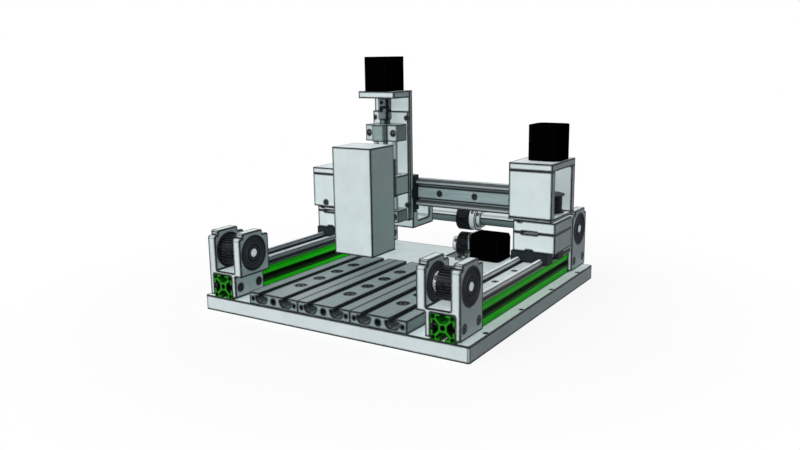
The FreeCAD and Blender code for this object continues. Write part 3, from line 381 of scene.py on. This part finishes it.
def shaft_finish(name, axis, tones):
    """Ground shaft with marks round it; a level one has painted shade: dark bands, by its slope,
    beside its light bands.
    """
    finish = Finish(name, Metallic=0.1, Specular_IOR_Level=0.2)
    marks = finish.grinding(axis)
    tone = finish.mix(marks, *map(linear, tones))
    if axis == "Y":
        # Painted shade: dark bands above and under a shaft along Y, by its slope
        slope = finish.facing("Z")
        upper_line = finish.stripe(slope, 0.70, 0.09, 0.15)
        under = finish.spread(slope, -0.10, -0.22)
        tone = finish.mix(finish.axis("X") < 0.0, tone, linear(left_shaft_grey))
        tone = finish.mix(upper_line + under, tone, linear(shaft_painted_dark))
    if axis == "X":
        # Painted shade: dark bands above and below a shaft along X, by its slope
        above_and_below = finish.spread(abs(finish.facing("Z") + 0.03), 0.27, 0.39)
        tone = finish.mix(above_and_below * painted_shade_share, tone, linear(shaft_painted_dark))
    # Painted shade in the crevices beside the shaft
    shaded = finish.mix(finish.slots(5.0), tone, linear(line_dark))
    lined = finish.mix(finish.edges(1.8), shaded, linear(line_dark))
    return finish.surface(Base_Color=lined, Roughness=marks.between(0.4, 0.6),
                          Normal=finish.bump(marks, strength=0.05, distance=0.1 * MM))


def green_finish(name, middle, front, rear):
    """Profile sides painted brighter than the ends as painted light, with the slot in painted shade,
    two dark grooves above it, and deeper green ends.
    """
    slot_drop = 1.5 * MM
    slot_half = 6.2 * MM
    groove_height = 15.6 * MM
    groove_half_gap = 1.9 * MM
    finish = Finish(name, Specular_IOR_Level=0.1)
    height = finish.axis("Z") - middle
    along = finish.axis("Y")
    side = (along > front + face_margin) * (along < rear - face_margin)
    from_slot = abs(height + slot_drop)
    slot = (from_slot < slot_half) * side
    rims = finish.stripe(from_slot, slot_half, 0.6 * MM, 1.2 * MM) * side
    from_grooves = abs(height - groove_height)
    grooves = finish.stripe(from_grooves, groove_half_gap, 0.4 * MM, 0.9 * MM) * side

    # Painted light: the sides take bright tones and the ends a deeper green
    tone = finish.mix(finish.noise(60, crowding=(6, 0.3, 6)), *map(linear, green_lit_tones))
    tone = finish.mix(side, linear(green_end_tone), tone)
    # Painted shade: the slot band and the crevices darken
    tone = finish.mix(slot, tone, linear(green_slot_shade))
    tone = finish.mix(finish.slots(26.0) * 0.9, tone, linear(green_line))
    tone = finish.mix(grooves * 0.85, tone, linear(green_line))
    tone = finish.mix(rims, tone, linear(green_line))
    lined = finish.mix(finish.edges(2.4), tone, linear(green_line))
    fine = finish.noise(540, detail=2.0)
    return finish.surface(Base_Color=lined, Roughness=fine.between(0.4, 0.65),
                          Normal=finish.bump(fine, strength=0.12, distance=0.2 * MM))


def bearing_finish(y_front, y_rear, z):
    """Dark rings with a softer seal between them, by the distance from the nearer axle."""
    seal_inner = 19.2 * MM
    seal_outer = 23.6 * MM
    rim_starts = 25.6 * MM
    rim_full = 26.4 * MM
    finish = Finish("bearing_rings", Specular_IOR_Level=0.05)
    nearer_axle = (finish.axis("Y") > 0).between(y_front, y_rear)
    radius = finish.radius_from("YZ", nearer_axle, z)
    seal = (radius > seal_inner) * (radius < seal_outer)
    fine = finish.noise(600)
    tone = finish.mix(fine, *map(linear, ring_tones))
    tone = finish.mix(seal, tone, linear(seal_grey))
    tone = finish.mix(finish.spread(radius, rim_starts, rim_full), tone, linear(ring_line))
    lined = finish.mix(finish.edges(1.0) * 0.6, tone, linear(ring_line))
    return finish.surface(Base_Color=lined, Roughness=fine.between(0.65, 0.75))


def motor_finish(name):
    """Matt black lacquer with faint wear along the edges."""
    finish = Finish(name, Specular_IOR_Level=0.0)
    fine = finish.noise(800)
    tone = finish.mix(fine, *map(linear, motor_tones))
    lined = finish.mix(finish.edges(1.2) * 0.7, tone, linear(motor_line))
    return finish.surface(Base_Color=lined, Roughness=fine.between(0.6, 0.8),
                          Normal=finish.bump(fine, strength=0.1, distance=0.2 * MM))


def coupling_finish(name, x, y, bottom, top):
    """Grey hubs, black by the distance from the axis: the spider's own black between the jaws, and
    painted shade in the slits and screw pockets.
    """
    hub_depth = 11.3 * MM
    finish = Finish(name, Metallic=0.1, Specular_IOR_Level=0.15)
    height = finish.axis("Z")
    inside = (height > bottom) * (height < top) * (finish.radius_from("XY", x, y) < hub_depth)
    marks = finish.grinding("Z", scale=90, crowding=30)
    tone = finish.mix(marks, *map(linear, coupling_tones))
    # Black of the jaw spider between the jaws, and painted shade in the slits and screw pockets
    dark = finish.mix(inside, tone, linear(coupling_spider_and_shade))
    lined = finish.mix(finish.edges(3.0), dark, linear(line_dark))
    return finish.surface(Base_Color=lined, Roughness=marks.between(0.45, 0.65))


def both(*names):
    """The left and the right node of each name."""
    return [f"{name}_{side}" for name in names for side in ("left", "right")]


def dress(material, *names):
    """Gives carried-over nodes one material."""
    for name in names:
        data = nodes[name].data
        data.materials.clear()
        data.materials.append(material)


def middle_of(name):
    """Centre of a node's box at rest."""
    low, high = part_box(name)
    return [(a + b) / 2 for a, b in zip(low, high)]


def piece(name, points, faces, body, material, replaced, fill_ends=False):
    """Mesh object from points and faces, riding on a body in a node's place, ends filled if told."""
    mesh = bpy.data.meshes.new(name)
    mesh.from_pydata(points.tolist(), [], faces.tolist())
    work = bmesh.new()
    work.from_mesh(mesh)
    bmesh.ops.remove_doubles(work, verts=work.verts, dist=1e-7)
    if fill_ends:
        bmesh.ops.holes_fill(work, edges=[edge for edge in work.edges if edge.is_boundary])
    bmesh.ops.recalc_face_normals(work, faces=work.faces)
    work.to_mesh(mesh)
    work.free()
    mesh.materials.append(material)
    made = bpy.data.objects.new(name, mesh)
    bpy.context.scene.collection.objects.link(made)
    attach(made, body)
    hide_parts(replaced)


def joined(shapes):
    """Points and faces of several shapes as one, each shape's faces counted on from the last."""
    points = []
    faces = []
    count = 0
    for shape_points, shape_faces in shapes:
        points.append(shape_points)
        faces.append(shape_faces + count)
        count += len(shape_points)
    return np.concatenate(points), np.concatenate(faces)


def wrapped_faces(rows, columns, close_rows=False):
    """Four-cornered faces of a grid whose last column meets its first, as may its last row."""
    r = np.arange(rows if close_rows else rows - 1)
    r, c = np.meshgrid(r, np.arange(columns), indexing="ij")
    below = (r + 1) % rows
    right = (c + 1) % columns
    corners = [r * columns + c, r * columns + right, below * columns + right, below * columns + c]
    return np.stack(corners, -1).reshape(-1, 4)


def round_angles(count):
    """Angles of equal steps round a circle."""
    return np.linspace(0, full_turn, count, endpoint=False)


def turned_from(angle, start):
    """Angle from start, between half a turn back and half a turn on."""
    return (angle - start + np.pi) % full_turn - np.pi


def upright(x, y, radius, angle, height):
    """Points round an upright axis at x and y, each at its radius, angle and height."""
    points = [x + radius * np.cos(angle), y + radius * np.sin(angle), height]
    return np.stack(points, -1).reshape(-1, 3)


def turned_ring(profile, centre):
    """Closed profile of along, radius pairs turned round an axis along X through centre."""
    angle = round_angles(72)
    along, radius = profile[:, 0][:, None], profile[:, 1][:, None]
    grid = np.broadcast_arrays(along, radius * np.cos(angle), radius * np.sin(angle))
    points = np.stack(grid, -1).reshape(-1, 3) + np.array(centre)
    return points, wrapped_faces(len(profile), len(angle), close_rows=True)


def bearings(material):
    """Rings and seal of each bearing: a stepped section turned round the axle."""
    half, outer, inner = 6.5, 27.45, 15.05
    seal_outer, seal_inner, seal_depth = 24.0, 19.0, 0.9
    chamfer = 0.6
    inset = 7.5 * MM
    face = [
        (half - chamfer, outer), (half, outer - chamfer),
        (half, seal_outer), (half - seal_depth, seal_outer - chamfer),
        (half - seal_depth, seal_inner + chamfer), (half, seal_inner),
        (half, inner + chamfer), (half - chamfer, inner),
    ]
    section = np.array(face + [(-x, r) for x, r in reversed(face)]) * MM
    low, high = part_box("front_axle_right")
    _, front_y, axle_z = middle_of("front_axle_right")
    _, rear_y, _ = middle_of("rear_pulley_right")
    places = []
    for y in (front_y, rear_y):
        for x in (low[0] + inset, high[0] - inset):
            places += [(x, y, axle_z), (-x, y, axle_z)]
    points, faces = joined(turned_ring(section, place) for place in places)
    piece("bearing_rings", points, faces, "base", material, "block_bearings")


def threaded_screw(material):
    """Lead screw: the radius rises and falls with height less angle, as a flat-topped thread."""
    low, high = np.array(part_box("lead_screw"))
    x, y, _ = (low + high) / 2
    pitch = 5 * MM
    starts = 2
    depth = 0.8 * MM
    run_out = 2 * MM
    rings_to_pitch = 14
    crest_height, flank_slope = 2.2, 7
    radius = (high[0] - low[0]) / 2
    heights = np.linspace(low[2], high[2], int((high[2] - low[2]) / pitch) * rings_to_pitch)
    angles = round_angles(48)
    z, a = np.meshgrid(heights, angles, indexing="ij")
    phase = (z / pitch - starts * a / full_turn) % 1
    crest = np.clip(crest_height - np.abs(phase - 0.5) * flank_slope, 0, 1)
    ends = np.clip(np.minimum(z - low[2], high[2] - z) / run_out, 0, 1)
    r = radius - depth + depth * crest * ends
    piece("threaded_lead_screw", upright(x, y, r, a, z), wrapped_faces(len(heights), len(angles)),
          "z_screw", material, "lead_screw", fill_ends=True)


def jaw_coupling(material):
    """Lock nut and coupling: a turned outline that drops in slits, notches and between the jaws."""
    low, high = np.array(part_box("screw_coupling"))
    x, y = (low[:2] + high[:2]) / 2
    nut_top = low[2] + lock_nut_height
    hub_top = high[2] - motor_shaft_length
    hub_length = 14 * MM
    jaw_low = nut_top + hub_length
    jaw_high = hub_top - hub_length

    # Radii in mm; the slits and the spaces between the jaws go down to gap_floor
    bore, nut, notch_floor = 5.1, 9.7, 8.3
    hub, gap_floor, screw_floor, motor_shaft = 12.0, 9.6, 9.4, 4.0
    chamfer = 0.5
    step = chamfer * MM
    outline = [(low[2], 0.0), (low[2], bore), (low[2], nut - chamfer), (low[2] + step, nut),
               (nut_top - step, nut), (nut_top, nut - chamfer),
               (nut_top, hub - chamfer), (nut_top + step, hub)]
    outline += [(z, hub) for z in np.linspace(nut_top + 1 * MM, hub_top - 1 * MM, 74)]
    outline += [(hub_top - step, hub), (hub_top, hub - chamfer),
                (hub_top, motor_shaft), (high[2], motor_shaft), (high[2], 0.0)]
    rows = np.array(outline)
    angles = round_angles(120)
    z, a = np.meshgrid(rows[:, 0], angles, indexing="ij")
    r = np.repeat(rows[:, 1][:, None], len(angles), axis=1)

    jaw_clearance = 2.6 * MM
    wave = np.cos(3 * a)
    jaws = (z > jaw_low) & (z < jaw_high)
    below = (wave > 0) & (z < jaw_low + jaw_clearance)
    above = (wave < 0) & (z > jaw_high - jaw_clearance)
    r = np.where(jaws & ((np.abs(wave) < 0.5) | below | above), gap_floor, r)

    slit_turn, slit_half = -0.66, 0.09
    hub_rim = 0.6 * MM
    hubs = (z > nut_top + hub_rim) & (z < hub_top - hub_rim) & ~jaws
    for turn in (slit_turn, slit_turn + np.pi):
        r = np.where(hubs & (np.abs(turned_from(a, turn)) < slit_half), gap_floor, r)

    screw_radius = 2.4 * MM
    screw_inset = 7 * MM
    upper_turn, lower_turn = -1.51, 1.63
    for turn, level in ((upper_turn, hub_top - screw_inset), (lower_turn, nut_top + screw_inset)):
        across = turned_from(a, turn) * hub * MM
        r = np.where(hubs & (across ** 2 + (z - level) ** 2 < screw_radius ** 2), screw_floor, r)

    quarter = np.pi / 2
    notch_half = 0.16
    nut_rim = 0.2 * MM
    nut_side = (z > low[2] + nut_rim) & (z < nut_top - nut_rim)
    notches = nut_side & (np.abs(a % quarter - quarter / 2) < notch_half)
    r = np.where(notches, notch_floor, r) * MM
    piece("jaw_coupling", upright(x, y, r, a, z), wrapped_faces(len(rows), len(angles)),
          "z_screw", material, "screw_coupling")


def solids_of(name):
    """Points of each separate solid of a node: those that edges join to one another."""
    work = bmesh.new()
    work.from_mesh(nodes[name].data)
    bmesh.ops.remove_doubles(work, verts=work.verts, dist=1e-6)
    work.verts.index_update()
    reached = set()
    groups = []
    for first in work.verts:
        if first.index in reached:
            continue
        reached.add(first.index)
        group = [first]
        for known in group:
            for edge in known.link_edges:
                vert = edge.other_vert(known)
                if vert.index not in reached:
                    reached.add(vert.index)
                    group.append(vert)
        groups.append(np.array([vert.co[:] for vert in group]))
    work.free()
    return groups


def screw_shape(solid):
    """Cap screw in place of a plain one: a turned outline, six-sided in the socket of its head.

    Its axis is the one whose size differs most from the other two. A screw as long as its head is
    wide, as four on the unit are, gets a wrong axis from this, and no shank.
    """
    rim_share = 0.93
    tail_share = 0.4
    hexagon_size = 1.08
    low, high = solid.min(0), solid.max(0)
    size = high - low
    main = int(np.argmax(np.abs(size - np.median(size))))
    across = [i for i in range(3) if i != main]
    centre = (low + high) / 2
    radius = size[across[0]] / 2
    away = np.hypot(*(solid[:, i] - centre[i] for i in across))
    head = solid[away > radius * rim_share][:, main]
    facing = 1.0 if head.mean() > centre[main] else -1.0
    rise = head.max() - head.min()
    seat = head.min() if facing > 0 else head.max()
    length = size[main] - rise
    shank = np.median(away[(solid[:, main] - seat) * facing < -tail_share * length])
    point = shank * 0.2
    bevel = radius * 0.07
    key = radius * 0.46

    # Distance along the screw from its seat, radius, and 1 where the turn is six-sided
    rows = np.array([
        (-length, 0.0, 0), (-length, shank * 0.85, 0), (-length + point, shank, 0),
        (0.0, shank, 0), (0.0, radius - bevel, 0), (bevel, radius, 0),
        (rise - bevel, radius, 0), (rise, radius - bevel, 0), (rise, key * 1.22, 0),
        (rise - bevel, key, 1), (rise * 0.4, key, 1), (rise * 0.3, 0.0, 1),
    ])
    angles = round_angles(24)
    sixth = np.pi / 3
    six = np.cos(sixth / 2) / np.cos(angles % sixth - sixth / 2) * hexagon_size
    r = rows[:, 1][:, None] * np.where(rows[:, 2][:, None] > 0, six, 1.0)
    points = np.zeros((len(rows), len(angles), 3))
    points[..., main] = seat + facing * rows[:, 0][:, None]
    points[..., across[0]] = centre[across[0]] + r * np.cos(angles)
    points[..., across[1]] = centre[across[1]] + r * np.sin(angles)
    return points.reshape(-1, 3), wrapped_faces(len(rows), len(angles))


def cap_screws(name, replaced, body, material):
    """Cap screws in the places of a node's plain ones."""
    points, faces = joined(screw_shape(solid) for solid in solids_of(replaced))
    piece(name, points, faces, body, material, replaced)


def plates_and_profiles():
    """Finishes of the plates, blocks and drawn profiles."""
    light = metal_finish("light_plates", plate_grey, line_dark, grain=30, edge=5.8, slot=4.0,
                         change=0.03, rough=0.6)
    dress(light, "base_plate", "y_motor_plate", "z_back_plate", "z_front_plate", "z_motor_plate",
          "beam_bracket", "head_plate", "tool_head", "head_saddle",
          *both("pulley_block_front", "pulley_block_rear", "side_block", "belt_clamp",
                "box_floor", "box_sides", "box_roof"))

    table_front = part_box("table_plate_left")[0][1] + face_margin
    table = metal_finish("table_extrusion", table_grey, line_dark, grain=60, edge=5.4, slot=22.0,
                         streaks=(6, 0.3, 6),
                         patch=(lambda finish: finish.axis("Y") < table_front, table_end_grey))
    dress(table, "table_plate_left", "table_plate_middle", "table_plate_right")

    low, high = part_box("y_profile_left")
    green = green_finish("green_extrusion", (low[2] + high[2]) / 2, low[1], high[1])
    dress(green, *both("y_profile"))
    rail = metal_finish("rail_extrusion", rail_light, line_dark, grain=60, edge=3.0,
                        streaks=(6, 0.3, 6))
    dress(rail, *both("y_rail"))
    beam = metal_finish("beam_extrusion", beam_grey, line_dark, grain=60, edge=3.6,
                        streaks=(0.3, 6, 6))
    dress(beam, "x_rail", "x_profile")
    dark = metal_finish("carriages", carriage_dark, carriage_line, grain=200, edge=2.6,
                        change=0.2, rough=0.6, shine=0.1)
    dress(dark, "y_carriages", "x_carriages")

    nose_depth = 11 * MM
    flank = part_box("z_upper_bearing_block")[0][1] + nose_depth
    block = metal_finish("bearing_blocks", block_grey, line_dark, grain=80, edge=4.4,
                         patch=(lambda finish: abs(finish.axis("Y") - flank) < face_margin,
                                block_light))
    dress(block, "z_upper_bearing_block", "z_lower_bearing_block")
    dress(motor_finish("motors"), "y_motor", "x_motor", "z_motor")


def fasteners():
    """Cap screws of the base, the gantry and the unit on the beam, and their finish."""
    screws = metal_finish("screws", screw_dark, screw_line, grain=400, edge=1.7, slot=3.0,
                          rough=0.4, metal=0.2)
    dress(screws, "base_screws", "gantry_screws", "z_unit_screws")
    cap_screws("table_and_block_screws", "base_screws", "base", screws)
    cap_screws("beam_and_box_screws", "gantry_screws", "gantry", screws)
    cap_screws("unit_screws", "z_unit_screws", "z_unit", screws)


def coupling():
    """Lock nut and coupling of the lead screw, and their finish."""
    low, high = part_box("screw_coupling")
    x, y, _ = middle_of("screw_coupling")
    hub_margin = 0.2 * MM
    grey = coupling_finish("coupling", x, y, low[2] + lock_nut_height + hub_margin,
                           high[2] - motor_shaft_length - hub_margin)
    dress(grey, "screw_coupling")
    jaw_coupling(grey)


def belt_drives():
    """Finishes of the axles and the toothed pulleys, and the rings of their bearings."""
    _, front_y, axle_z = middle_of("front_axle_right")
    _, rear_y, _ = middle_of("rear_pulley_right")
    block_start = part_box("pulley_block_front_right")[0][0] - face_margin
    dress(axle_finish("front_axles", front_y, axle_z, block_start), *both("front_axle"))
    dress(axle_finish("cross_shaft", rear_y, axle_z, block_start), "cross_shaft")

    hub_length = 10 * MM
    motor_hub_end = -8.05 * MM
    rim_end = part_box("y_motor_plate")[1][0] - 6 * MM
    hub_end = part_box("rear_pulley_right")[0][0] + hub_length
    belt = pulley_finish("belt_pulleys", lambda finish: abs(finish.axis("X")) < hub_end)
    dress(belt, *both("front_pulley", "rear_pulley"))
    dress(pulley_finish("shaft_pulley", lambda finish: finish.axis("X") > rim_end),
          "shaft_drive_pulley")
    dress(pulley_finish("motor_pulley", lambda finish: finish.axis("X") < motor_hub_end),
          "y_motor_pulley")

    beam_axle = 6.1 * MM
    x, y, _ = middle_of("x_drive_pulley")
    dress(pulley_finish("beam_pulley", lambda finish: finish.radius_from("XY", x, y) < beam_axle),
          "x_drive_pulley")
    dress(pulley_finish("beam_idler", lambda finish: finish.radius_from("XY", -x, y) < beam_axle),
          "x_idler_pulley")
    bearings(bearing_finish(front_y, rear_y, axle_z))


def shafts():
    """Finishes of the ground shafts, and the thread of the lead screw."""
    dress(shaft_finish("rail_shafts", "Y", rail_shaft_tones), "y_rail_shafts")
    dress(shaft_finish("beam_shafts", "X", beam_shaft_tones), "x_rail_shafts")
    guide = shaft_finish("guide_shafts", "Z", guide_tones)
    dress(guide, "z_guide_shafts", "head_bushings", "lead_screw")
    threaded_screw(shaft_finish("lead_screw_thread", "Z", guide_tones))


def floor():
    """Pale floor, a flat disc, that fades to white away from the machine."""
    finish = Finish("floor", Roughness=1.0)
    seen = finish.seen()
    finish.surface(Base_Color=finish.mix(seen, floor_bounce, floor_seen))
    far = finish.spread(finish.radius_from("XY", 0.0, 0.0), fade_starts, fade_ends)
    white = finish.node("ShaderNodeEmission")
    mixed = finish.node("ShaderNodeMixShader",
                        inputs={0: seen * far.between(0.82, 1.0),
                                1: Reading(finish, finish.shader.outputs[0]), 2: white})
    finish.feed(finish.tree.nodes["Material Output"].inputs["Surface"], mixed)
    angles = round_angles(96)
    rim = upright(0.0, 0.0, floor_radius, angles, np.full_like(angles, -floor_drop))
    mesh = bpy.data.meshes.new("floor")
    mesh.from_pydata(rim.tolist(), [], [list(range(len(rim)))])
    mesh.materials.append(finish.material)
    made = bpy.data.objects.new("floor", mesh)
    bpy.context.scene.collection.objects.link(made)


def world():
    """Even sky light, seen as white by the camera and in reflections."""
    made = bpy.data.worlds.new("studio")
    made.use_nodes = True
    graph = Graph(made.node_tree)
    sky = graph.tree.nodes["Background"]
    graph.feed(sky.inputs["Color"], sky_colour)
    graph.feed(sky.inputs["Strength"], sky_strength)
    white = graph.node("ShaderNodeBackground", inputs={"Color": (1, 1, 1, 1)})
    mixed = graph.node("ShaderNodeMixShader",
                       inputs={0: graph.seen(), 1: Reading(graph, sky.outputs[0]), 2: white})
    graph.feed(graph.tree.nodes["World Output"].inputs["Surface"], mixed)
    bpy.context.scene.world = made


def lamp(name, towards, spread_degrees, strength, shadow=True):
    """Broad soft sun that shines from the direction given."""
    light = bpy.data.lights.new(name, "SUN")
    light.energy = strength
    light.angle = math.radians(spread_degrees)
    light.use_shadow = shadow
    made = bpy.data.objects.new(name, light)
    made.rotation_euler = Vector(towards).to_track_quat("Z", "Y").to_euler()
    bpy.context.scene.collection.objects.link(made)


def camera():
    """Looks along yaw and pitch, with a slight roll, from where the photograph was taken."""
    data = bpy.data.cameras.new("camera")
    data.sensor_width = camera_sensor
    data.lens = camera_lens
    made = bpy.data.objects.new("camera", data)
    across = math.cos(camera_pitch)
    ahead = Vector((-math.sin(camera_yaw) * across, math.cos(camera_yaw) * across,
                    math.sin(camera_pitch)))
    level = Vector((math.cos(camera_yaw), math.sin(camera_yaw), 0))
    above = level.cross(ahead)
    c, s = math.cos(camera_roll), math.sin(camera_roll)
    right = c * level + s * above
    up = c * above - s * level
    turn = Matrix((right, up, -ahead)).transposed()
    made.matrix_world = Matrix.Translation(camera_place) @ turn.to_4x4()
    bpy.context.scene.collection.objects.link(made)
    bpy.context.scene.camera = made


plates_and_profiles()
fasteners()
coupling()
belt_drives()
shafts()
floor()
world()
lamp("key_sun", front_light, front_spread, strength=0.7)
lamp("front_fill", front_light, front_spread, strength=2.4, shadow=False)
lamp("rear_fill", rear_light, rear_spread, strength=0.7)
camera()
bpy.context.scene.view_settings.view_transform = "Standard"
